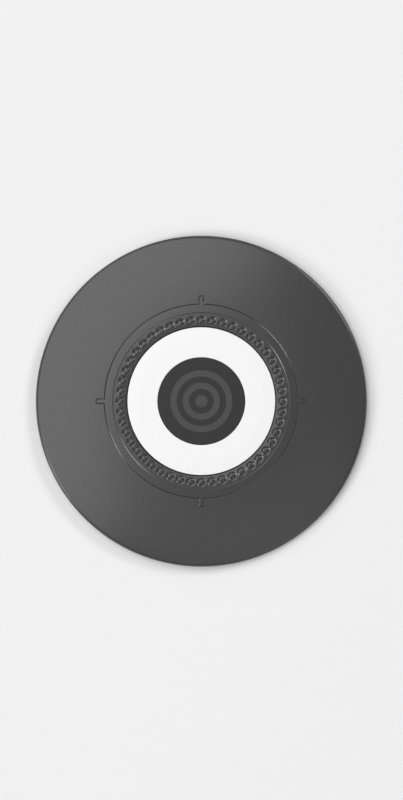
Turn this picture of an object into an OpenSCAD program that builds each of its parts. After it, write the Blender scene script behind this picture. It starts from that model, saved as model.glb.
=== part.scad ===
// Adhesive magnetic patch: a shallow domed disc that sticks to the back of a phone.
// Sizes are in millimetres. The underside of the adhesive lies on z = 0 and the face looks up.

/* [Patch body] */
// Diameter of the whole patch
patch_d = 67; // [60:1:76]
// Height of the edge, from its underside to where the face would meet it
rim_t = 1.5; // [1.2:0.1:1.8]
// Radius that rounds the edge of the face
rim_round = 0.8; // [0.3:0.1:1]
// Diameter of the flat middle, from which the face curves down
face_flat_d = 30; // [26:0.5:32]

/* [Adhesive pad] */
// Thickness of the foam pad
pad_t = 0.6; // [0.4:0.05:1]
// How far the pad's edge lies inside the edge of the patch
pad_inset = 1.5; // [1.2:0.1:3]
// How far the pad stands out below the body's lip
pad_proud = 0.3; // [0.1:0.05:0.35]
// Gap between the pad and the lip around it
pad_gap = 0.2; // [0.1:0.05:0.4]

/* [Insert] */
// Width of the plain band of the insert, outside the tooth ring
band_w = 1.7; // [1.2:0.05:2.5]
// Gap of the parting line between the insert and the body
seam_gap = 0.08; // [0.06:0.01:0.2]
// Number of key tabs around the insert
key_count = 4; // [2:1:8]
// Width of a key tab
key_w = 0.9; // [0.7:0.1:2]
// How far a key tab stands out from the insert
key_reach = 1.65; // [1:0.05:2.5]
// How far the insert's flange reaches under the body
flange_w = 3.45; // [2.7:0.05:4]
// Thickness of the flange
flange_t = 1; // [0.6:0.1:1.2]
// Gap around the flange
flange_gap = 0.1; // [0.05:0.05:0.3]
// Thickness of the wall between the magnet and the white ring
web_t = 0.4; // [0.3:0.05:0.8]

/* [Tooth ring] */
// Number of teeth, an even one
tooth_count = 48; // [36:2:60]
// Depth of the recessed land that the teeth stand in
land_depth = 0.12; // [0.05:0.01:0.2]
// Width of the land inside the dimples
land_in = 0.07; // [0.05:0.01:0.3]
// Width of the land outside the dimples
land_out = 0.49; // [0.2:0.01:0.6]
// Diameter of a dimple at the land
dimple_d = 2.2; // [2:0.05:2.3]
// Diameter of a dimple at its floor
dimple_floor_d = 1.36; // [1.32:0.02:1.6]
// Depth of a dimple
dimple_depth = 0.26; // [0.2:0.02:0.4]
// Diameter of the round boss in a dimple, at the floor
boss_d = 1.28; // [0.8:0.02:1.3]
// How far the top of a boss lies below the land
boss_sink = 0.04; // [0.02:0.01:0.08]

/* [White ring] */
// Outer diameter of the white ring
ring_d = 29.78; // [28.8:0.02:30.6]
// Diameter of the hole in the white ring
ring_bore_d = 17.7; // [15:0.1:20]
// Thickness of the white ring
ring_t = 0.9; // [0.75:0.05:1.2]
// Diameter at which the flat of the white ring ends and its slope begins
ring_flat_d = 25; // [22:0.5:27]
// Angle of the slope, in degrees
ring_slope = 3; // [1:0.5:5]
// How far the white ring stands above the face
ring_proud = 0.2; // [0.1:0.05:0.3]
// Gap around the white ring in its seat
ring_gap = 0.2; // [0.1:0.05:0.3]

/* [Centre cap] */
// Gap between the cap and the white ring
cap_gap = 0.08; // [0.05:0.01:0.15]
// How far the cap's face lies below the white ring's flat
cap_sink = 0.12; // [0.05:0.01:0.2]
// How far the cap's flange reaches under the white ring
cap_flange_w = 0.8; // [0.5:0.1:1.2]
// Thickness of the cap's flange
cap_flange_t = 0.4; // [0.3:0.05:0.5]
// Number of printed fields, with the dot in the middle counted
print_count = 3; // [1:1:3]
// Width of a printed ring, and of the bare ring beside it
print_w = 1.25; // [0.8:0.05:1.4]
// Thickness of the print, let into the cap
print_t = 0.05; // [0.03:0.01:0.1]

/* [Magnet] */
// Diameter of the magnet
magnet_d = 25; // [20:0.5:26]
// Thickness of the magnet
magnet_t = 1.6; // [1:0.1:2.4]
// Width of the bevels on the magnet's edges
magnet_bevel = 0.2; // [0.1:0.05:0.4]
// Diameter of the steel plate behind the magnet
shield_d = 28; // [26.5:0.5:29]
// Thickness of the steel plate
shield_t = 0.5; // [0.3:0.05:0.8]
// Gap around the magnet and the plate
magnet_gap = 0.1; // [0.05:0.05:0.2]

/* [Hidden] */

// Fineness of small rounds, of large ones and of the face's long arc
$fn = 64;
disc_fn = 180;
arc_fn = 720;
// Length by which a cut runs past the surface that it opens
over = 0.02;

// Heights of the stack, from the adhesive up
magnet_z = pad_t + shield_t;
web_z = magnet_z + magnet_t;
seat_z = web_z + web_t;
ring_top_z = seat_z + ring_t;
face_z = ring_top_z - ring_proud;
land_z = face_z - land_depth;
dimple_z = land_z - dimple_depth;
lip_z = pad_proud;

// Radii from the middle out
ring_bore_r = ring_bore_d / 2;
cap_r = ring_bore_r - cap_gap;
cap_flange_r = cap_r + cap_flange_w;
rebate_r = cap_flange_r + cap_gap;
ring_flat_r = ring_flat_d / 2;
ring_r = ring_d / 2;
seat_r = ring_r + ring_gap;
tooth_r = seat_r + land_in + dimple_d / 2;
land_r = tooth_r + dimple_d / 2 + land_out;
insert_r = land_r + band_w;
flange_r = insert_r + flange_w;
patch_r = patch_d / 2;
pad_r = patch_r - pad_inset;

// The face: an arc that leaves the flat level and meets the edge at the rim's height
face_flat_r = face_flat_d / 2;
face_run = patch_r - face_flat_r;
face_drop = face_z - lip_z - rim_t;
face_arc_r = (face_run * face_run + face_drop * face_drop) / (2 * face_drop);
face_arc_z = face_z - face_arc_r;

// The rim's round, which touches the side and the face's arc
round_r = patch_r - rim_round;
round_run = round_r - face_flat_r;
round_reach = face_arc_r - rim_round;
round_z = face_arc_z + sqrt(round_reach * round_reach - round_run * round_run);
touch_r = face_flat_r + round_run * face_arc_r / round_reach;

// A boss is a cap of this sphere
boss_h = dimple_depth - boss_sink;
boss_sphere_r = (boss_d * boss_d / 4 + boss_h * boss_h) / (2 * boss_h);
dimple_flare = (dimple_d - dimple_floor_d) / 2 / dimple_depth;

// The white ring's edge, below its flat by the slope
ring_edge_z = ring_top_z - (ring_r - ring_flat_r) * tan(ring_slope);

cap_top_z = ring_top_z - cap_sink;
cap_flange_z = seat_z + cap_flange_t;

// Half section of all that lies under the face, out to radius r and from height z up
module under_face(r, z) {
    intersection() {
        translate([0, z]) square([r, face_z - z]);
        union() {
            translate([0, z]) square([face_flat_r, face_z - z]);
            translate([face_flat_r, face_arc_z]) circle(r = face_arc_r, $fn = arc_fn);
        }
    }
}

// Half section of the body's outside, with the edge rounded
module body_section() {
    under_face(touch_r, lip_z);
    translate([0, lip_z]) square([patch_r, round_z - lip_z]);
    translate([round_r, round_z]) circle(r = rim_round);
}

// Outline of the insert with its key tabs, larger all round by grow
module keyed_outline(grow) {
    circle(r = insert_r + grow, $fn = disc_fn);
    for (i = [0 : key_count - 1])
        rotate(i * 360 / key_count)
            translate([-key_w / 2 - grow, 0])
                square([key_w + 2 * grow, insert_r + key_reach + grow]);
}

// A straight cut of radius r, from height z up and out of the top
module cut_above(r, z) {
    translate([0, 0, z]) cylinder(r = r, h = ring_top_z - z + over, $fn = disc_fn);
}

// A straight cut of radius r, up to height z from below the lip
module cut_below(r, z) {
    cylinder(r = r, h = z, $fn = disc_fn);
}

// What is sunk for one tooth: a flared dimple, less the round boss that stays standing in it
module tooth_cut() {
    difference() {
        cylinder(d1 = dimple_floor_d, d2 = dimple_d + 2 * dimple_flare * over, h = dimple_depth + over);
        translate([0, 0, boss_h - boss_sphere_r]) sphere(r = boss_sphere_r);
    }
}

// One printed field: the dot in the middle for i = 0, and rings at an even spacing outside it
module print_field(i) {
    translate([0, 0, cap_top_z - print_t])
        linear_extrude(height = print_t)
            difference() {
                circle(r = (2 * i + 1) * print_w);
                if (i > 0) circle(r = 2 * i * print_w);
            }
}

// Foam pad with adhesive on both faces
module adhesive_pad() {
    color([0.13, 0.13, 0.14])
        cylinder(r = pad_r, h = pad_t, $fn = disc_fn);
}

// Steel plate that keeps the field away from the phone
module shield_plate() {
    color([0.62, 0.63, 0.64])
        translate([0, 0, pad_t])
            cylinder(d = shield_d, h = shield_t, $fn = disc_fn);
}

// Plated magnet with bevelled edges
module magnet_disc() {
    r = magnet_d / 2;
    b = magnet_bevel;
    color([0.75, 0.75, 0.77])
        translate([0, 0, magnet_z])
            rotate_extrude($fn = disc_fn)
                polygon([[0, 0], [r - b, 0], [r, b], [r, magnet_t - b], [r - b, magnet_t], [0, magnet_t]]);
}

// Every other tooth of the ring, counted from the one numbered first
module teeth_cut(first) {
    for (i = [first : 2 : tooth_count - 1])
        rotate(i * 360 / tooth_count)
            translate([0, tooth_r, dimple_z])
                tooth_cut();
}

// The insert before its teeth are cut: a keyed disc with a flange, a seat above and a pocket below
module core_blank() {
    difference() {
        union() {
            intersection() {
                rotate_extrude($fn = disc_fn) under_face(flange_r, pad_t);
                linear_extrude(height = face_z) keyed_outline(0);
            }
            translate([0, 0, pad_t]) cylinder(r = flange_r, h = flange_t, $fn = disc_fn);
        }
        cut_above(land_r, land_z);
        cut_above(seat_r, seat_z);
        cut_below(magnet_d / 2 + magnet_gap, web_z);
        cut_below(shield_d / 2 + magnet_gap, magnet_z);
    }
}

// Rigid keyed insert. Its dimples run into each other, so neighbours are cut one after the other
module core_housing() {
    color([0.26, 0.26, 0.27])
        difference() {
            difference() {
                core_blank();
                teeth_cut(0);
            }
            teeth_cut(1);
        }
}

// Soft domed body around the insert, with a lip around the pad
module patch_body() {
    color([0.28, 0.28, 0.29])
        difference() {
            rotate_extrude($fn = disc_fn) body_section();
            cut_below(pad_r + pad_gap, pad_t);
            cut_below(flange_r + flange_gap, pad_t + flange_t);
            linear_extrude(height = face_z + over) keyed_outline(seam_gap);
        }
}

// White ring: flat inside, sloped outside, with a rebate over the cap's flange
module white_ring() {
    color([0.95, 0.95, 0.95])
        rotate_extrude($fn = disc_fn)
            polygon([
                [rebate_r, seat_z],
                [ring_r, seat_z],
                [ring_r, ring_edge_z],
                [ring_flat_r, ring_top_z],
                [ring_bore_r, ring_top_z],
                [ring_bore_r, cap_flange_z],
                [rebate_r, cap_flange_z]
            ]);
}

// Dark cap in the ring's hole, held down by its flange and sunk where the print lies
module centre_cap() {
    color([0.2, 0.2, 0.2])
        difference() {
            rotate_extrude($fn = disc_fn)
                polygon([
                    [0, seat_z],
                    [cap_flange_r, seat_z],
                    [cap_flange_r, cap_flange_z],
                    [cap_r, cap_flange_z],
                    [cap_r, cap_top_z],
                    [0, cap_top_z]
                ]);
            for (i = [0 : print_count - 1]) print_field(i);
        }
}

// Lighter print on the cap: a dot and evenly spaced rings
module centre_print() {
    color([0.31, 0.31, 0.31])
        for (i = [0 : print_count - 1]) print_field(i);
}

adhesive_pad();
shield_plate();
magnet_disc();
core_housing();
patch_body();
white_ring();
centre_cap();
centre_print();
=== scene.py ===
"""Looks of the adhesive magnetic phone patch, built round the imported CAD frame.

Sizes are millimetres above the phone's back, as in the part's source, and become metres where a mesh is made.
Bearings round the patch are degrees from 12 o'clock, clockwise as seen from above.
"""

import logging
import math
from collections.abc import Mapping, Sequence
from dataclasses import dataclass, field
from enum import Enum

import bmesh
import bpy
import numpy as np
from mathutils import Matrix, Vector


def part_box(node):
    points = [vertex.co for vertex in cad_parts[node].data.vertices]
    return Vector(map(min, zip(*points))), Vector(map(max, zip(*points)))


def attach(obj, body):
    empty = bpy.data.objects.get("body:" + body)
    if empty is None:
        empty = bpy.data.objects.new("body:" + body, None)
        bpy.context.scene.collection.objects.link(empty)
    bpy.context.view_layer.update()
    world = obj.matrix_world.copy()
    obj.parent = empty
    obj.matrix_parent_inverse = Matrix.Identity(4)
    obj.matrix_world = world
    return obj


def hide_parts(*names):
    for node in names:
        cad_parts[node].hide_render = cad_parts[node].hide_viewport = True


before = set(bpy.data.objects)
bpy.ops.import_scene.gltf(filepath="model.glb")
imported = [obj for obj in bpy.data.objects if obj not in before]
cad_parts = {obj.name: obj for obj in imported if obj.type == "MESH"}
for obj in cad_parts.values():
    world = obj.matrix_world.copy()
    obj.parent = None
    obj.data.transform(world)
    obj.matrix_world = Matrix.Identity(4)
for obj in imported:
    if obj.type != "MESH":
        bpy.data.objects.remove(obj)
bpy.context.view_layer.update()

MM = 0.001
# Points on every loop round the patch, and their bearings
SEGMENTS = 480
TURN = np.linspace(0.0, 2.0 * math.pi, SEGMENTS, endpoint=False)
# How far a straight line runs on past the last corner that is kept, mm
RUN_OUT = 1.0

Colour = tuple[float, float, float]
# What a node's input takes: a value, or something to link to it
Input = "float | Colour | Signal | bpy.types.NodeSocket"

log = logging.getLogger("patch")


def reach(node: str) -> float:
    """Finds how far a round CAD node reaches from its axis.

    Args:
        node: the CAD node's name.

    Returns:
        The smallest of its four level reaches, mm: a circle of that radius stays in the node's box.
    """
    low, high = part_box(node)
    return min(-low[0], -low[1], high[0], high[1]) / MM


def top(node: str) -> float:
    """Height of a CAD node's highest point, mm."""
    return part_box(node)[1][2] / MM


# Meshes


def circle(radius: float, height: float) -> np.ndarray:
    """Lays a level circle round the patch's axis.

    Args:
        radius: the circle's radius, mm.
        height: its height, mm.

    Returns:
        One row of x, y, z for each segment, clockwise from 12 o'clock.
    """
    return np.column_stack([radius * np.sin(TURN), radius * np.cos(TURN), np.full(SEGMENTS, height)])


@dataclass(frozen=True)
class Corner:
    """A corner of a half section: its radius and height, and the radius that rounds it, in mm."""

    r: float
    z: float
    rounding: float = 0.0

    @property
    def at(self) -> np.ndarray:
        """The corner as a vector of radius and height."""
        return np.array([self.r, self.z])


@dataclass(frozen=True)
class Section:
    """The half section of a turned piece.

    A rounded corner becomes an arc with a guard point on each side, so smooth shading leaves the flats flat.
    """

    corners: tuple[Corner, ...]
    steps: int = 5
    guard: float = 0.02

    def path(self) -> list[np.ndarray]:
        """Rounds the corners.

        Returns:
            Points of radius and height along the section.
        """
        points = []
        for i, corner in enumerate(self.corners):
            if not corner.rounding:
                points.append(corner.at)
                continue
            after = self.corners[(i + 1) % len(self.corners)]
            points.extend(self._arc(self.corners[i - 1].at, corner, after.at))
        return points

    def _arc(self, before: np.ndarray, corner: Corner, after: np.ndarray) -> list[np.ndarray]:
        """Rounds one corner.

        Args:
            before: the corner before it.
            corner: the corner itself.
            after: the corner after it.

        Returns:
            A guard point, the arc's points and another guard point.
        """
        back = (before - corner.at) / np.linalg.norm(before - corner.at)
        ahead = (after - corner.at) / np.linalg.norm(after - corner.at)
        half = math.acos(float(back @ ahead)) / 2
        run = corner.rounding / math.tan(half)
        inwards = (back + ahead) / np.linalg.norm(back + ahead)
        middle = corner.at + inwards * corner.rounding / math.sin(half)
        start = corner.at + back * run - middle
        end = corner.at + ahead * run - middle
        swing = math.pi - 2 * half
        arc = [
            middle + (math.sin((1 - t) * swing) * start + math.sin(t * swing) * end) / math.sin(swing)
            for t in np.linspace(0, 1, self.steps + 1)
        ]
        return [corner.at + back * (run + self.guard), *arc, corner.at + ahead * (run + self.guard)]

    def loops(self) -> list[np.ndarray]:
        """The section's points as circles round the axis."""
        return [circle(r, z) for r, z in self.path()]


@dataclass
class Skin:
    """A mesh that grows from loops of points round the patch."""

    rows: list[np.ndarray] = field(default_factory=list)
    faces: list[tuple[int, ...]] = field(default_factory=list)
    count: int = 0

    def add(self, points: np.ndarray) -> list[int]:
        """Adds points.

        Args:
            points: rows of x, y, z in mm.

        Returns:
            The points' numbers in the mesh.
        """
        self.rows.append(points)
        self.count += len(points)
        return list(range(self.count - len(points), self.count))

    def bridge(self, first: Sequence[int], second: Sequence[int]) -> None:
        """Joins two closed loops of one length by quads.

        Args:
            first: the numbers of one loop's points.
            second: the numbers of the other's.
        """
        for i in range(len(first)):
            self.faces.append((first[i - 1], first[i], second[i], second[i - 1]))

    def cap(self, loop: Sequence[int], height: float) -> None:
        """Closes a loop round the axis with triangles that meet on the axis.

        Args:
            loop: the numbers of the loop's points.
            height: height of the middle, mm.
        """
        self.fan(loop, self.add(np.array([[0.0, 0.0, height]]))[0])

    def fan(self, loop: Sequence[int], middle: int) -> None:
        """Joins a loop to one point by triangles.

        Args:
            loop: the numbers of the loop's points.
            middle: the number of the point in its middle.
        """
        for i in range(len(loop)):
            self.faces.append((loop[i - 1], loop[i], middle))

    def run(self, loops: Sequence[np.ndarray], start: Sequence[int] | None = None) -> list[int]:
        """Adds loops and joins each to the one before it.

        Args:
            loops: the loops' points.
            start: numbers of a loop already in the mesh that the first one joins.

        Returns:
            The numbers of the last loop's points.
        """
        last = start
        for points in loops:
            numbers = self.add(points)
            if last is not None:
                self.bridge(last, numbers)
            last = numbers
        return last

    def turned(self, section: Section) -> "Skin":
        """Adds a closed turned form.

        Args:
            section: its half section; one that begins on the axis also ends there.

        Returns:
            The skin itself.
        """
        path = section.path()
        if path[0][0] == 0:
            first = self.add(circle(*path[1]))
            last = self.run([circle(r, z) for r, z in path[2:-1]], first)
            self.cap(first, path[0][1])
            self.cap(last, path[-1][1])
            return self
        first = self.add(circle(*path[0]))
        self.bridge(self.run([circle(r, z) for r, z in path[1:]], first), first)
        return self

    def piece(self, name: str) -> bpy.types.Object:
        """Makes the object.

        Args:
            name: the piece's name.

        Returns:
            The object, smooth shaded, its faces turned outwards.
        """
        mesh = bpy.data.meshes.new(name)
        mesh.from_pydata((np.vstack(self.rows) * MM).tolist(), [], self.faces)
        work = bmesh.new()
        work.from_mesh(mesh)
        bmesh.ops.recalc_face_normals(work, faces=work.faces)
        work.to_mesh(mesh)
        work.free()
        mesh.shade_smooth()
        made = bpy.data.objects.new(name, mesh)
        bpy.context.scene.collection.objects.link(made)
        return made


@dataclass(frozen=True)
class Dome:
    """The patch's face: flat in the middle, then an arc that falls away to the rim."""

    flat_radius: float = 15.0
    flat_height: float = 3.8
    rim_radius: float = 33.5
    drop: float = 2.0

    @property
    def arc_radius(self) -> float:
        """Radius of the arc, mm."""
        return ((self.rim_radius - self.flat_radius) ** 2 + self.drop**2) / (2 * self.drop)

    def height(self, radius: np.ndarray) -> np.ndarray:
        """Height of the face at each radius.

        Args:
            radius: distances from the axis, mm.

        Returns:
            The heights, mm.
        """
        out = np.maximum(np.asarray(radius, dtype=float) - self.flat_radius, 0.0)
        return self.flat_height - self.arc_radius + np.sqrt(self.arc_radius**2 - out**2)

    def lay(self, outline: np.ndarray, sink: float = 0.0) -> np.ndarray:
        """Lays a flat outline on the face.

        Args:
            outline: rows of x, y in mm.
            sink: how far below the face it lies, mm.

        Returns:
            Rows of x, y, z in mm.
        """
        heights = self.height(np.hypot(outline[:, 0], outline[:, 1])) - sink
        return np.column_stack([outline, heights])


@dataclass(frozen=True)
class KeyedOutline:
    """The insert's outline: a circle with square key tabs at the four quarters."""

    radius: float = 19.55
    key_width: float = 0.9
    key_reach: float = 1.65
    key_corner: float = 0.1
    least_corner: float = 0.02
    keys: int = 4
    key_points: int = 6

    @property
    def spin(self) -> float:
        """Angle from one tab to the next, radians."""
        return 2 * math.pi / self.keys

    def points(self, grow: float) -> np.ndarray:
        """Runs round the outline, with as many points at every offset.

        Args:
            grow: how far the outline is set outwards, mm.

        Returns:
            Rows of x, y, clockwise from the middle of the first tab's end.
        """
        radius = self.radius + grow
        half = self.key_width / 2 + grow
        end = self.radius + self.key_reach + grow
        corner = max(self.key_corner + grow, self.least_corner)
        slant = corner * (1 - math.sqrt(0.5))
        foot = math.sqrt(radius**2 - half**2)
        side = [
            (half / 2, end),
            (half - corner, end),
            (half - slant, end - slant),
            (half, end - corner),
            (half, (foot + end - corner) / 2),
            (half, foot),
        ]
        bearings = self._between_keys(math.asin(half / radius))
        arc = [(radius * math.sin(b), radius * math.cos(b)) for b in bearings]
        c = math.cos(self.spin)
        s = math.sin(self.spin)
        next_side = [(-x * c + y * s, x * s + y * c) for x, y in side]
        return self._repeated(np.array([(0.0, end), *side, *arc, *reversed(next_side)]))

    def necked(self, grow: float) -> np.ndarray:
        """Cuts the tabs off across their feet, with the points in the same order as on the outline.

        Args:
            grow: how far the circle is set outwards, mm.

        Returns:
            Rows of x, y on a circle.
        """
        radius = self.radius + grow
        start = math.asin(self.key_width / 2 / self.radius)
        foot = np.linspace(0.0, start, self.key_points + 1)
        bearings = np.array([*foot, *self._between_keys(start), *(self.spin - foot[:0:-1])])
        return self._repeated(radius * np.column_stack([np.sin(bearings), np.cos(bearings)]))

    def _between_keys(self, start: float) -> np.ndarray:
        """Spreads bearings over the arc from the first tab to the next.

        Args:
            start: bearing of the first tab's side, radians.

        Returns:
            The bearings between the two tabs, without the ends.
        """
        steps = SEGMENTS // self.keys - 2 * self.key_points
        return np.linspace(start, self.spin - start, steps + 1)[1:-1]

    def _repeated(self, part: np.ndarray) -> np.ndarray:
        """Repeats the points of the first key's share at every key.

        Args:
            part: rows of x, y from one tab's middle to just before the next one's.

        Returns:
            Rows of x, y all the way round.
        """
        turned = []
        for i in range(self.keys):
            c = math.cos(self.spin * i)
            s = math.sin(self.spin * i)
            turned.append(part @ np.array([[c, -s], [s, c]]))
        return np.vstack(turned)


def between(first: np.ndarray, second: np.ndarray, steps: int) -> list[np.ndarray]:
    """Fills in outlines between two outlines.

    Args:
        first: rows of x, y.
        second: rows of x, y, as many.
        steps: how many equal steps lie between the two.

    Returns:
        The outlines between them and the second one.
    """
    return [first + (second - first) * k / steps for k in range(1, steps + 1)]


@dataclass(frozen=True)
class SeamEdge:
    """A small bevel with soft corners along the parting line between the insert and the body."""

    width: float
    fall: float
    softness: float = 0.025
    steps: int = 3
    guard: float = 0.012

    def path(self) -> list[tuple[float, float]]:
        """Runs from the level face over the bevel to the wall.

        Returns:
            Pairs of how far each point lies inside the wall and below the face, mm.
        """
        corners = (
            Corner(self.width + RUN_OUT, 0.0),
            Corner(self.width, 0.0, self.softness),
            Corner(0.0, -self.fall, self.softness),
            Corner(0.0, -RUN_OUT),
        )
        points = Section(corners, steps=self.steps, guard=self.guard).path()[1:-1]
        return [(float(r), float(-z)) for r, z in points]


# Shaders


class Signal:
    """A number in a shader. Python's operators on it add Math nodes."""

    def __init__(self, graph: "Graph", socket: bpy.types.NodeSocket) -> None:
        """Wraps a socket of a graph.

        Args:
            graph: the graph that holds the socket's node.
            socket: the output socket.
        """
        self.graph = graph
        self.socket = socket

    def _maths(self, operation: str, first: Input, second: Input) -> "Signal":
        """Adds one Math node.

        Args:
            operation: the node's operation.
            first: its first value.
            second: its second value.

        Returns:
            The result.
        """
        node = self.graph.node("ShaderNodeMath", {"operation": operation}, {0: first, 1: second})
        return Signal(self.graph, node.outputs[0])

    def __add__(self, other: Input) -> "Signal":
        """Adds."""
        return self._maths("ADD", self, other)

    def __radd__(self, other: Input) -> "Signal":
        """Adds to a plain number."""
        return self._maths("ADD", other, self)

    def __sub__(self, other: Input) -> "Signal":
        """Subtracts."""
        return self._maths("SUBTRACT", self, other)

    def __rsub__(self, other: Input) -> "Signal":
        """Subtracts from a plain number."""
        return self._maths("SUBTRACT", other, self)

    def __mul__(self, other: Input) -> "Signal":
        """Multiplies."""
        return self._maths("MULTIPLY", self, other)

    def __rmul__(self, other: Input) -> "Signal":
        """Multiplies a plain number."""
        return self._maths("MULTIPLY", other, self)

    def about(self, middle: float, spread: float) -> "Signal":
        """Turns noise from 0 to 1 into a number that strays from the middle by up to the spread."""
        return middle + 2 * spread * (self - 0.5)

    def above(self, limit: float) -> "Signal":
        """1 where the number is above the limit, else 0."""
        return self._maths("GREATER_THAN", self, limit)


class Graph:
    """The node tree of one material or of the world."""

    def __init__(self, tree: bpy.types.NodeTree) -> None:
        """Empties a tree to build in it.

        Args:
            tree: the tree.
        """
        self.tree = tree
        tree.nodes.clear()

    def node(
        self,
        kind: str,
        settings: Mapping[str, object] | None = None,
        sockets: Mapping[str | int, Input] | None = None,
    ) -> bpy.types.Node:
        """Adds a node.

        Args:
            kind: the node's type.
            settings: its properties, set first.
            sockets: values or links for its inputs.

        Returns:
            The node.
        """
        made = self.tree.nodes.new(kind)
        for name, value in (settings or {}).items():
            setattr(made, name, value)
        for name, value in (sockets or {}).items():
            value = value.socket if isinstance(value, Signal) else value
            if isinstance(value, bpy.types.NodeSocket):
                self.tree.links.new(value, made.inputs[name])
            else:
                made.inputs[name].default_value = value
        return made

    def place(self, stretch: Colour = (1.0, 1.0, 1.0)) -> bpy.types.NodeSocket:
        """Gives the place on the object.

        Args:
            stretch: factors along x, y and z.

        Returns:
            A vector socket, in metres times the factors.
        """
        coordinates = self.node("ShaderNodeTexCoord").outputs["Object"]
        node = self.node("ShaderNodeVectorMath", {"operation": "MULTIPLY"}, {0: coordinates, 1: stretch})
        return node.outputs["Vector"]

    def height(self) -> Signal:
        """Height on the object, mm."""
        split = self.node("ShaderNodeSeparateXYZ", sockets={0: self.place((1 / MM, 1 / MM, 1 / MM))})
        return Signal(self, split.outputs["Z"])

    def noise(self, place: bpy.types.NodeSocket, size: float, detail: float = 2.0) -> Signal:
        """Adds soft noise.

        Args:
            place: where it is read.
            size: the size of its grains, mm.
            detail: how many finer octaves it has.

        Returns:
            A number about 0.5.
        """
        sockets = {"Vector": place, "Scale": 1 / (size * MM), "Detail": detail}
        return Signal(self, self.node("ShaderNodeTexNoise", sockets=sockets).outputs["Fac"])

    def cells(self, place: bpy.types.NodeSocket, size: float) -> Signal:
        """Adds round cells.

        Args:
            place: where they are read.
            size: their size, mm.

        Returns:
            The distance from each cell's middle, 0 to about 1.
        """
        node = self.node("ShaderNodeTexVoronoi", sockets={"Vector": place, "Scale": 1 / (size * MM)})
        return Signal(self, node.outputs["Distance"])

    def shaded(self, colour: Colour, factor: Signal) -> bpy.types.NodeSocket:
        """Makes a colour lighter or darker.

        Args:
            colour: the colour.
            factor: what it is multiplied by.

        Returns:
            A socket with the new colour.
        """
        node = self.node("ShaderNodeVectorMath", {"operation": "SCALE"}, {0: colour, "Scale": factor})
        return node.outputs["Vector"]

    def mixed(self, factor: Signal, first: Colour, second: Colour) -> bpy.types.NodeSocket:
        """Mixes two colours.

        Args:
            factor: 0 gives the first, 1 the second.
            first: the first colour.
            second: the second colour.

        Returns:
            A socket with the mixed colour.
        """
        sockets = {"Factor": factor, 6: (*first, 1.0), 7: (*second, 1.0)}
        return self.node("ShaderNodeMix", {"data_type": "RGBA"}, sockets).outputs[2]

    def bump(self, height: Signal, depth: float) -> bpy.types.NodeSocket:
        """Turns a height into a bumped normal.

        Args:
            height: the height, 0 to 1.
            depth: how deep 1 is, mm.

        Returns:
            The normal's socket.
        """
        node = self.node("ShaderNodeBump", sockets={"Height": height, "Distance": depth * MM})
        return node.outputs["Normal"]

    def surface(self, sockets: Mapping[str, Input]) -> None:
        """Ends a material in one shader.

        Args:
            sockets: values or links for the shader's inputs.
        """
        shader = self.node("ShaderNodeBsdfPrincipled", sockets=sockets)
        self.node("ShaderNodeOutputMaterial", sockets={"Surface": shader.outputs["BSDF"]})


class Finish:
    """A material that is made once and shared."""

    title: str

    def wire(self, graph: Graph) -> None:
        """Builds the finish's nodes.

        Args:
            graph: the empty graph of its material.
        """
        raise NotImplementedError

    def material(self) -> bpy.types.Material:
        """Makes the material.

        Returns:
            The material, or the one made before under this title.
        """
        known = bpy.data.materials.get(self.title)
        if known:
            return known
        made = bpy.data.materials.new(self.title)
        made.use_nodes = True
        self.wire(Graph(made.node_tree))
        return made


@dataclass(frozen=True)
class MouldedPlastic(Finish):
    """Plastic with the even fine grain of its mould and a faint cloudiness from the flow."""

    title: str
    colour: Colour
    roughness: float
    grain: float = 0.16
    grain_depth: float = 0.0018
    roughness_spread: float = 0.05
    cloud: float = 5.0
    cloud_share: float = 0.03
    ior: float = 1.5

    def wire(self, graph: Graph) -> None:
        """Builds the plastic's nodes.

        Args:
            graph: the empty graph of its material.
        """
        place = graph.place()
        grain = graph.noise(place, self.grain, detail=3.0)
        cloud = graph.noise(place, self.cloud, detail=4.0)
        graph.surface(
            {
                "Base Color": graph.shaded(self.colour, cloud.about(1.0, self.cloud_share)),
                "Roughness": grain.about(self.roughness, self.roughness_spread),
                "IOR": self.ior,
                "Normal": graph.bump(grain, self.grain_depth),
            }
        )


@dataclass(frozen=True)
class PrintedInk(Finish):
    """Pad-printed ink: a thin, slightly uneven film with pinholes at its finest scale."""

    title: str
    colour: Colour
    roughness: float = 0.42
    roughness_spread: float = 0.06
    pinhole: float = 0.18
    pinhole_depth: float = 0.002
    film: float = 0.9
    film_share: float = 0.06

    def wire(self, graph: Graph) -> None:
        """Builds the ink's nodes.

        Args:
            graph: the empty graph of its material.
        """
        place = graph.place()
        film = graph.noise(place, self.film, detail=4.0)
        pinholes = graph.noise(place, self.pinhole, detail=1.0)
        graph.surface(
            {
                "Base Color": graph.shaded(self.colour, film.about(1.0, self.film_share)),
                "Roughness": pinholes.about(self.roughness, self.roughness_spread),
                "Normal": graph.bump(pinholes, self.pinhole_depth),
            }
        )


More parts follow.
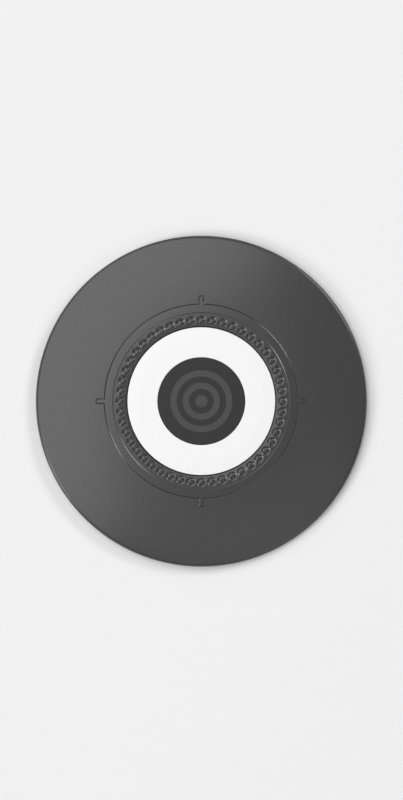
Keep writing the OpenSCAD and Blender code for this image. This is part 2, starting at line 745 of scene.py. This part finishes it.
@dataclass(frozen=True)
class FoamTape(Finish):
    """Closed-cell foam tape: open cells on its cut edge, and a smooth tacky film on its two faces."""

    title: str
    foam: Colour
    film: Colour
    cell: float = 0.11
    cell_share: float = 0.3
    wave: float = 1.6
    relief: float = 0.03
    face_height: float = 0.04
    film_roughness: float = 0.30
    roughness_spread: float = 0.08
    foam_roughness: float = 0.5
    ior: float = 1.48

    def wire(self, graph: Graph) -> None:
        """Builds the tape's nodes.

        Args:
            graph: the empty graph of its material.
        """
        place = graph.place()
        cells = graph.cells(place, self.cell)
        wavy = graph.noise(place, self.wave, detail=3.0)
        foamy = graph.height().above(self.face_height)
        film_roughness = wavy.about(self.film_roughness, self.roughness_spread)
        graph.surface(
            {
                "Base Color": graph.mixed(foamy * cells.about(1.0, self.cell_share), self.film, self.foam),
                "Roughness": film_roughness + foamy * self.foam_roughness,
                "IOR": self.ior,
                "Normal": graph.bump(foamy * cells + (1 - foamy) * wavy, self.relief),
            }
        )


class Lay(Enum):
    """Which way a metal's finest marks run."""

    ALL_WAYS = (1.0, 1.0, 1.0)
    ALONG_X = (0.03, 1.0, 1.0)


@dataclass(frozen=True)
class Metal(Finish):
    """Bare or plated metal, with marks that run all ways or in one direction."""

    title: str
    colour: Colour
    roughness: float
    lay: Lay
    roughness_spread: float = 0.1
    mark: float = 0.12
    mark_depth: float = 0.0015
    stain: float = 6.0
    stain_share: float = 0.06

    def wire(self, graph: Graph) -> None:
        """Builds the metal's nodes.

        Args:
            graph: the empty graph of its material.
        """
        marks = graph.noise(graph.place(self.lay.value), self.mark, detail=4.0)
        stain = graph.noise(graph.place(), self.stain, detail=3.0)
        graph.surface(
            {
                "Base Color": graph.shaded(self.colour, stain.about(1.0, self.stain_share)),
                "Metallic": 1.0,
                "Roughness": marks.about(self.roughness, self.roughness_spread),
                "Normal": graph.bump(marks, self.mark_depth),
            }
        )


@dataclass(frozen=True)
class PaleCard(Finish):
    """The pale card that the patch lies on."""

    title: str
    colour: Colour
    roughness: float = 0.85
    fibre: float = 0.8
    fibre_share: float = 0.01
    fibre_depth: float = 0.01

    def wire(self, graph: Graph) -> None:
        """Builds the card's nodes.

        Args:
            graph: the empty graph of its material.
        """
        fibre = graph.noise(graph.place(), self.fibre, detail=4.0)
        graph.surface(
            {
                "Base Color": graph.shaded(self.colour, fibre.about(1.0, self.fibre_share)),
                "Roughness": self.roughness,
                "Normal": graph.bump(fibre, self.fibre_depth),
            }
        )


# The patch


@dataclass
class SubAssembly:
    """A group of pieces that are made and dressed together."""

    def fit(self, piece: bpy.types.Object, node: str, slot: str, finish: Finish) -> None:
        """Puts a piece in the place of its CAD node and dresses it.

        Args:
            piece: the new piece.
            node: the CAD node that it stands for.
            slot: the record's material slot; not used.
            finish: the piece's finish.
        """
        piece.data.materials.append(finish.material())
        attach(piece, "root")
        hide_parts(node)
        log.info("%s: %d faces, stands for %s", piece.name, len(piece.data.polygons), node)

    def dress(self, node: str, finish: Finish) -> None:
        """Gives a CAD node that stays in view a better material.

        Args:
            node: the CAD node's name.
            finish: its finish.
        """
        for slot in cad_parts[node].material_slots:
            slot.material = finish.material()
        log.info("%s: kept from the CAD, dressed as %s", node, finish.title)


@dataclass
class PatchBody(SubAssembly):
    """The wide soft body: a shallow dome with a rounded rim, open in the middle for the keyed insert."""

    dome: Dome = field(default_factory=Dome)
    outline: KeyedOutline = field(default_factory=KeyedOutline)
    seam_gap: float = 0.05
    edge: SeamEdge = SeamEdge(width=0.06, fall=0.03)
    rim_round: float = 0.8
    rim_guard: float = 0.02
    lip_height: float = 0.3
    lip_round: float = 0.12
    recess_radius: float = 32.2
    recess_height: float = 0.6
    recess_round: float = 0.05
    pocket_radius: float = 23.1
    pocket_height: float = 1.6
    inner_circle: float = 22.6
    inner_steps: int = 5
    face_steps: int = 26
    rim_steps: int = 14

    def face(self) -> list[np.ndarray]:
        """Runs over the face from the inner circle, round the rim and down to the lip.

        Returns:
            Loops from the inside outwards.
        """
        radius = reach("patch_body")
        round_middle = radius - self.rim_round
        arc = self.dome.arc_radius
        lean = math.asin((round_middle - self.dome.flat_radius) / (arc - self.rim_round))
        touch = self.dome.flat_radius + arc * math.sin(lean)
        spread = np.linspace(self.inner_circle, touch, self.face_steps + 1)
        loops = [circle(r, float(self.dome.height(r))) for r in spread]
        height = self.dome.flat_height - arc + (arc - self.rim_round) * math.cos(lean)
        for a in np.linspace(lean, math.pi / 2, self.rim_steps + 1)[1:]:
            out = round_middle + self.rim_round * math.sin(a)
            loops.append(circle(out, height + self.rim_round * math.cos(a)))
        under = Section(
            (
                Corner(radius, height - self.rim_guard),
                Corner(radius, self.lip_height, self.lip_round),
                Corner(self.recess_radius, self.lip_height, self.recess_round),
                Corner(self.recess_radius, self.recess_height),
                Corner(self.pocket_radius, self.recess_height),
                Corner(self.pocket_radius, self.pocket_height),
            )
        )
        return [*loops, *under.loops()]

    def build(self) -> None:
        """Makes the body and dresses it."""
        skin = Skin()
        opening = self.outline.points(self.seam_gap)
        first = skin.add(np.column_stack([opening, np.full(SEGMENTS, self.pocket_height)]))
        edge = [(self.outline.points(self.seam_gap + inside), drop) for inside, drop in self.edge.path()]
        loops = [self.dome.lay(outline, drop) for outline, drop in reversed(edge)]
        guard = edge[0][0]
        inner = circle(self.inner_circle, 0.0)[:, :2]
        loops.extend(self.dome.lay(o) for o in between(guard, inner, self.inner_steps)[:-1])
        last = skin.run([*loops, *self.face()], first)
        skin.bridge(last, first)
        finish = MouldedPlastic("soft_body_satin", (0.0490, 0.0490, 0.0495), 0.26, ior=1.56)
        self.fit(skin.piece("patch_body_soft"), "patch_body", "body_plastic", finish)


@dataclass(frozen=True)
class Tooth:
    """One tooth: a round boss with a flat middle, in a round flared dimple with a crease along the boss."""

    boss_radius: float = 0.64
    boss_flat: float = 0.15
    boss_round: float = 0.65
    crease_radius: float = 0.71
    crease_depth: float = 0.13
    floor_radius: float = 0.72
    dimple_radius: float = 1.05
    dimple_depth: float = 0.17
    softness: float = 0.018
    softness_reach: float = 0.12
    # How far the worked-out profile runs, and its step
    span: float = 2.0
    grid: float = 0.001

    def depth(self, distance: np.ndarray) -> np.ndarray:
        """Depth of the surface below the land.

        Args:
            distance: distances from the boss's middle, mm.

        Returns:
            The depths, mm, with the moulding's soft corners.
        """
        count = round(self.span / self.grid)
        fine = np.linspace(0.0, self.span, count + 1)
        out = np.clip(fine - self.boss_flat, 0.0, self.boss_radius - self.boss_flat)
        boss = self.boss_round - np.sqrt(self.boss_round**2 - out**2)
        floor = self.dimple_depth
        bends = (self.boss_radius, self.crease_radius, self.floor_radius, self.dimple_radius)
        wall = np.interp(fine, bends, (floor + self.crease_depth, floor, floor, 0.0))
        depth = np.where(fine < self.boss_radius, boss, wall)
        mirrored = np.concatenate([depth[:0:-1], depth])
        side = round(self.softness_reach / self.grid)
        offsets = np.linspace(-self.softness_reach, self.softness_reach, 2 * side + 1)
        kernel = np.exp(-0.5 * (offsets / self.softness) ** 2)
        soft = np.convolve(mirrored, kernel / kernel.sum(), mode="same")[count:]
        return np.interp(distance, fine, soft)


@dataclass
class KeyedInsert(SubAssembly):
    """The rigid insert: keyed band, ring of teeth, seat for the ring and cap, flange and magnet pocket."""

    dome: Dome = field(default_factory=Dome)
    outline: KeyedOutline = field(default_factory=KeyedOutline)
    tooth: Tooth = field(default_factory=Tooth)
    teeth: int = 48
    tooth_circle: float = 16.26
    land_height: float = 3.68
    land_lean: float = 0.035
    ledge_radius: float = 15.99
    ledge_lean: float = 0.07
    ledge_width: float = 0.16
    ledge_drop: float = 0.10
    seat_floor: float = 14.0
    seat_radius: float = 15.09
    seat_height: float = 3.1
    seat_edge: float = 0.04
    step_radius: float = 17.85
    step_width: float = 0.13
    step_round: float = 0.04
    step_guard: float = 0.01
    edge: SeamEdge = SeamEdge(width=0.13, fall=0.07)
    flange_start: float = 22.0
    flange_round: float = 0.08
    flange_radius: float = 22.99
    flange_top: float = 1.6
    flange_bottom: float = 0.6
    plate_radius: float = 14.1
    plate_height: float = 1.1
    magnet_radius: float = 12.6
    web_height: float = 2.7
    neck_inside: float = 0.25
    neck_steps: int = 3
    band_steps: int = 4
    side_steps: int = 12
    # Distances of a cell's loops from its boss's middle: round up to the knee, squeezed to the cell beyond
    spacing: tuple[float, ...] = (
        0.14, 0.26, 0.31, 0.36, 0.41, 0.46, 0.51, 0.55, 0.59, 0.62, 0.64, 0.66, 0.68, 0.70, 0.73, 0.76,
        0.82, 0.88, 0.94, 0.99, 1.03, 1.08, 1.13, 1.17,
    )
    knee: float = 0.76
    cell_margin: float = 0.02

    @property
    def foot_radius(self) -> float:
        """Radius where the land ends, just inside the foot of the step, mm."""
        return self.step_radius - self.step_width / 2 - self.step_round

    def _land_heights(self, out: np.ndarray) -> np.ndarray:
        """Height of the land at each radius, mm: from its foot it rises inwards, in line with the face."""
        return self.land_height + self.land_lean * (self.foot_radius - out)

    def _ledge_heights(self, out: np.ndarray) -> np.ndarray:
        """Height of the lower ledge at each radius, mm: it falls inwards to the seat."""
        edge = self._land_heights(self.ledge_radius) - self.ledge_drop
        return edge - self.ledge_lean * (self.ledge_radius - out)

    def _heights(self, points: np.ndarray, away: np.ndarray) -> np.ndarray:
        """Finds the height of the land, its lower inner ledge and the teeth.

        Args:
            points: rows of x, y.
            away: how far each point lies from the middle of the nearest boss, mm.

        Returns:
            The heights, mm.
        """
        out = np.hypot(points[:, 0], points[:, 1])
        share = np.clip((out - self.ledge_radius) / self.ledge_width + 0.5, 0.0, 1.0)
        high = self._land_heights(out)
        low = self._ledge_heights(out)
        land = low + (high - low) * share * share * (3 - 2 * share)
        tooth = high - self.tooth.depth(away)
        return np.where(away < self.tooth.boss_radius, tooth, np.minimum(land, tooth))

    def _side(self, tooth: int) -> np.ndarray:
        """Lays the line between one tooth's cell and the next.

        Args:
            tooth: the tooth's number, clockwise from 12 o'clock.

        Returns:
            Rows of x, y, z from the outer loop to the inner one, without its ends.
        """
        half = math.pi / self.teeth
        inner = self.seat_radius + self.seat_edge
        span = np.linspace(self.foot_radius, inner, self.side_steps + 1)[1:-1]
        away = np.hypot(span * math.sin(half), span * math.cos(half) - self.tooth_circle)
        bearing = (2 * tooth + 1) * half
        points = np.column_stack([span * math.sin(bearing), span * math.cos(bearing)])
        return np.column_stack([points, self._heights(points, away)])

    def _cell(self, skin: Skin, rim: list[int], tooth: int) -> None:
        """Fills one tooth's cell with loops that shrink from the cell's rim to the boss's middle.

        Args:
            skin: the mesh.
            rim: the numbers of the points round the cell.
            tooth: the tooth's number.
        """
        bearing = 2 * math.pi * tooth / self.teeth
        middle = self.tooth_circle * np.array([math.sin(bearing), math.cos(bearing)])
        spokes = self._rim_points(skin, rim) - middle
        lengths = np.linalg.norm(spokes, axis=1)
        ways = spokes / lengths[:, None]
        room = lengths - self.cell_margin - self.knee
        squeeze = np.minimum(1.0, room / (self.spacing[-1] - self.knee))
        last = rim
        for distance in reversed(self.spacing):
            beyond = self.knee + (distance - self.knee) * squeeze
            away = np.where(distance > self.knee, beyond, distance)
            points = middle + ways * away[:, None]
            loop = skin.add(np.column_stack([points, self._heights(points, away)]))
            skin.bridge(last, loop)
            last = loop
        peak = self._heights(middle[None, :], np.zeros(1))[0]
        skin.fan(last, skin.add(np.array([[*middle, peak]]))[0])

    @staticmethod
    def _rim_points(skin: Skin, rim: list[int]) -> np.ndarray:
        """Looks up points of the mesh by number.

        Args:
            skin: the mesh.
            rim: the points' numbers.

        Returns:
            Rows of x, y.
        """
        starts = np.cumsum([0, *[len(r) for r in skin.rows]])
        rows = []
        for number in rim:
            block = int(np.searchsorted(starts, number, side="right")) - 1
            rows.append(skin.rows[block][number - starts[block]][:2])
        return np.array(rows)

    def _land(self, skin: Skin, inner: list[int]) -> list[int]:
        """Joins the seat's edge to the foot of the step by the ring of teeth.

        Args:
            skin: the mesh.
            inner: the loop at the seat's edge.

        Returns:
            The loop at the foot of the step.
        """
        outer = skin.add(circle(self.foot_radius, self.land_height))
        sides = [skin.add(self._side(i)) for i in range(self.teeth)]
        share = SEGMENTS // self.teeth
        for i in range(self.teeth):
            across = [(share * i - share // 2 + j) % SEGMENTS for j in range(share + 1)]
            rim = [outer[j] for j in across] + sides[i]
            rim += [inner[j] for j in reversed(across)] + sides[i - 1][::-1]
            self._cell(skin, rim, i)
        return outer

    def build(self) -> None:
        """Makes the insert and dresses it."""
        skin = Skin()
        lip = float(self._ledge_heights(self.seat_radius + self.seat_edge))
        seat = Section(
            (
                Corner(self.seat_floor, self.seat_height),
                Corner(self.seat_radius, self.seat_height),
                Corner(self.seat_radius, lip, self.seat_edge),
                Corner(self.step_radius, lip),
            )
        ).loops()[:-2]
        floor = skin.add(seat[0])
        skin.cap(floor, self.seat_height)
        foot = self._land(skin, skin.run(seat[1:], floor))
        low = self.step_radius - self.step_width / 2
        high = self.step_radius + self.step_width / 2
        step = Section(
            (
                Corner(self.foot_radius, self.land_height),
                Corner(low, self.land_height, self.step_round),
                Corner(high, float(self.dome.height(high)), self.step_round),
                Corner(high + RUN_OUT, float(self.dome.height(high + RUN_OUT))),
            ),
            guard=self.step_guard,
        ).loops()[1:-1]
        neck = self.outline.necked(-self.neck_inside)
        edge = [(self.outline.points(-inside), drop) for inside, drop in self.edge.path()]
        flat = between(step[-1][:, :2], neck, self.band_steps)
        flat += between(neck, edge[0][0], self.neck_steps)[:-1]
        band = [self.dome.lay(outline) for outline in flat]
        bevel = [self.dome.lay(outline, drop) for outline, drop in edge]
        wall = self.outline.points(0.0)
        skirt = [np.column_stack([wall, np.full(SEGMENTS, self.flange_top)])]
        under = Section(
            (
                Corner(self.flange_start, self.flange_top),
                Corner(self.flange_radius, self.flange_top, self.flange_round),
                Corner(self.flange_radius, self.flange_bottom, self.flange_round),
                Corner(self.plate_radius, self.flange_bottom),
                Corner(self.plate_radius, self.plate_height),
                Corner(self.magnet_radius, self.plate_height),
                Corner(self.magnet_radius, self.web_height),
            )
        ).loops()
        last = skin.run([*step, *band, *bevel, *skirt, *under], foot)
        skin.cap(last, self.web_height)
        finish = MouldedPlastic("insert_satin", (0.0475, 0.0475, 0.0480), 0.22, ior=1.57)
        self.fit(skin.piece("keyed_insert"), "core_housing", "insert_plastic", finish)


@dataclass
class FacePlate(SubAssembly):
    """The white ring, the dark cap in its hole, and the print on the cap."""

    seat_height: float = 3.1
    bore_radius: float = 8.85
    bore_edge: float = 0.06
    rebate_radius: float = 9.65
    rebate_height: float = 3.5
    flat_radius: float = 12.5
    slope: float = math.radians(3.0)
    slope_round: float = 3.0
    ring_edge: float = 0.12
    cap_radius: float = 8.77
    cap_edge: float = 0.08
    print_width: float = 1.25
    print_fields: int = 3
    print_proud: float = 0.012
    print_sunk: float = 0.01
    print_edge: float = 0.006
    print_guard: float = 0.004

    def build_ring(self) -> None:
        """Makes the white ring and dresses it."""
        radius = reach("white_ring")
        height = top("white_ring")
        fall = (radius - self.flat_radius) * math.tan(self.slope)
        section = Section(
            (
                Corner(self.rebate_radius, self.seat_height),
                Corner(radius, self.seat_height),
                Corner(radius, height - fall, self.ring_edge),
                Corner(self.flat_radius, height, self.slope_round),
                Corner(self.bore_radius, height, self.bore_edge),
                Corner(self.bore_radius, self.rebate_height),
                Corner(self.rebate_radius, self.rebate_height),
            )
        )
        finish = MouldedPlastic(
            "ring_white_gloss",
            (0.90, 0.90, 0.90),
            0.34,
            grain=0.3,
            grain_depth=0.0012,
            roughness_spread=0.03,
            cloud=4.0,
            cloud_share=0.004,
            ior=1.46,
        )
        self.fit(Skin().turned(section).piece("white_face_ring"), "white_ring", "ring_plastic", finish)

    def build_cap(self) -> None:
        """Makes the dark cap and dresses it."""
        flange = reach("centre_cap")
        height = top("centre_cap")
        section = Section(
            (
                Corner(0.0, self.seat_height),
                Corner(flange, self.seat_height),
                Corner(flange, self.rebate_height),
                Corner(self.cap_radius, self.rebate_height),
                Corner(self.cap_radius, height, self.cap_edge),
                Corner(0.0, height),
            )
        )
        finish = MouldedPlastic("cap_dark_satin", (0.0228, 0.0228, 0.0230), 0.34, grain=0.12, ior=1.40)
        self.fit(Skin().turned(section).piece("centre_cap_dark"), "centre_cap", "cap_plastic", finish)

    def build_print(self) -> None:
        """Prints a dot and evenly spaced rings on the cap."""
        skin = Skin()
        low = top("centre_cap") - self.print_sunk
        high = top("centre_cap") + self.print_proud
        for i in range(self.print_fields):
            inner = 2 * i * self.print_width
            outer = inner + self.print_width
            if i == self.print_fields - 1:
                outer = min(outer, reach("centre_print"))
            corners = (
                Corner(inner, low),
                Corner(outer, low),
                Corner(outer, high, self.print_edge),
                Corner(inner, high, self.print_edge if inner else 0.0),
            )
            skin.turned(Section(corners, steps=2, guard=self.print_guard))
        finish = PrintedInk("print_grey_ink", (0.046, 0.046, 0.046))
        self.fit(skin.piece("cap_print"), "centre_print", "print_ink", finish)

    def build(self) -> None:
        """Makes all three."""
        self.build_ring()
        self.build_cap()
        self.build_print()


@dataclass
class Underside(SubAssembly):
    """What lies behind the face: the foam pad, the magnet and its shield plate."""

    pad_edge: float = 0.05
    pad_fill: float = 1.0

    def build(self) -> None:
        """Makes the pad and dresses the metal pieces."""
        radius = reach("adhesive_pad")
        height = top("adhesive_pad")
        section = Section(
            (
                Corner(0.0, 0.0),
                Corner(radius, 0.0, self.pad_edge),
                Corner(radius, height, self.pad_edge),
                Corner(0.0, height),
            )
        )
        pad = Skin().turned(section).piece("adhesive_foam_pad")
        finish = FoamTape("closed_cell_foam", (0.030, 0.030, 0.031), (0.045, 0.044, 0.042))
        self.fit(pad, "adhesive_pad", "foam_tape", finish)
        self.dress("magnet_disc", Metal("magnet_nickel", (0.66, 0.64, 0.60), 0.24, Lay.ALL_WAYS))
        self.dress("shield_plate", Metal("shield_steel", (0.56, 0.57, 0.58), 0.36, Lay.ALONG_X))


# The studio


@dataclass(frozen=True)
class Panel:
    """A soft rectangular light that faces the patch."""

    title: str
    bearing: float
    zenith: float
    width: float
    length: float
    radiance: float
    distance: float = 2.0

    def hang(self) -> None:
        """Puts the light up."""
        light = bpy.data.lights.new(self.title, "AREA")
        light.shape = "RECTANGLE"
        light.size = self.width
        light.size_y = self.length
        light.energy = self.radiance * math.pi * self.width * self.length
        made = bpy.data.objects.new(self.title, light)
        bearing = math.radians(self.bearing)
        zenith = math.radians(self.zenith)
        across = math.sin(zenith)
        way = Vector((across * math.sin(bearing), across * math.cos(bearing), math.cos(zenith)))
        made.location = way * self.distance
        made.rotation_mode = "QUATERNION"
        made.rotation_quaternion = way.to_track_quat("Z", "Y")
        bpy.context.scene.collection.objects.link(made)
        log.info("%s: bearing %.0f, %.0f from overhead", self.title, self.bearing, self.zenith)


@dataclass
class Studio:
    """Camera, floor, soft light and plain surroundings."""

    lens: float = 135.0
    sensor: float = 36.0
    frame_height: float = 161.37
    aim: tuple[float, float, float] = (0.03, 0.24, 3.0)
    nearest: float = 0.01
    farthest: float = 50.0
    floor_size: float = 6.0
    floor_gap: float = 0.03
    floor_colour: Colour = (0.86, 0.86, 0.86)
    ambient: Colour = (0.175, 0.175, 0.175)
    panels: tuple[Panel, ...] = (
        Panel("key_panel", bearing=300.0, zenith=26.0, width=2.8, length=1.70, radiance=1.95),
        Panel("low_left_panel", bearing=242.0, zenith=58.0, width=0.50, length=0.60, radiance=10.8),
        Panel("low_right_panel", bearing=51.0, zenith=58.0, width=0.80, length=0.44, radiance=10.5),
        Panel("front_fill_panel", bearing=157.0, zenith=26.0, width=1.3, length=1.0, radiance=0.40),
        Panel("low_back_panel", bearing=312.0, zenith=56.0, width=0.9, length=0.5, radiance=1.5),
        Panel("low_front_panel", bearing=146.0, zenith=56.0, width=0.8, length=0.5, radiance=2.0),
    )

    def build_camera(self) -> None:
        """Hangs the camera straight above the patch, its frame's long side as in the photograph."""
        camera = bpy.data.cameras.new("camera")
        camera.lens = self.lens
        camera.sensor_width = self.sensor
        camera.clip_start = self.nearest
        camera.clip_end = self.farthest
        made = bpy.data.objects.new("camera", camera)
        distance = self.frame_height * self.lens / self.sensor
        made.location = Vector((self.aim[0], self.aim[1], self.aim[2] + distance)) * MM
        bpy.context.scene.collection.objects.link(made)
        bpy.context.scene.camera = made

    def build_floor(self) -> None:
        """Lays the pale card under the patch."""
        half = self.floor_size / 2
        low = -self.floor_gap * MM
        mesh = bpy.data.meshes.new("floor")
        corners = [(-half, -half, low), (half, -half, low), (half, half, low), (-half, half, low)]
        mesh.from_pydata(corners, [], [(0, 1, 2, 3)])
        floor = bpy.data.objects.new("floor", mesh)
        floor.data.materials.append(PaleCard("floor_card", self.floor_colour).material())
        bpy.context.scene.collection.objects.link(floor)

    def build_world(self) -> None:
        """Surrounds everything with an even soft grey."""
        world = bpy.data.worlds.new("surroundings")
        world.use_nodes = True
        graph = Graph(world.node_tree)
        shade = graph.node("ShaderNodeBackground", sockets={"Color": (*self.ambient, 1.0), "Strength": 1.0})
        graph.node("ShaderNodeOutputWorld", sockets={"Surface": shade.outputs["Background"]})
        bpy.context.scene.world = world

    def build(self) -> None:
        """Sets the whole studio up."""
        bpy.context.scene.view_settings.view_transform = "Standard"
        self.build_camera()
        self.build_floor()
        self.build_world()
        for panel in self.panels:
            panel.hang()


def main() -> None:
    """Builds the studio and the patch, from the outside in."""
    logging.basicConfig(level=logging.INFO, format="%(message)s")
    Studio().build()
    PatchBody().build()
    KeyedInsert().build()
    FacePlate().build()
    Underside().build()


if __name__ == "__main__":
    main()
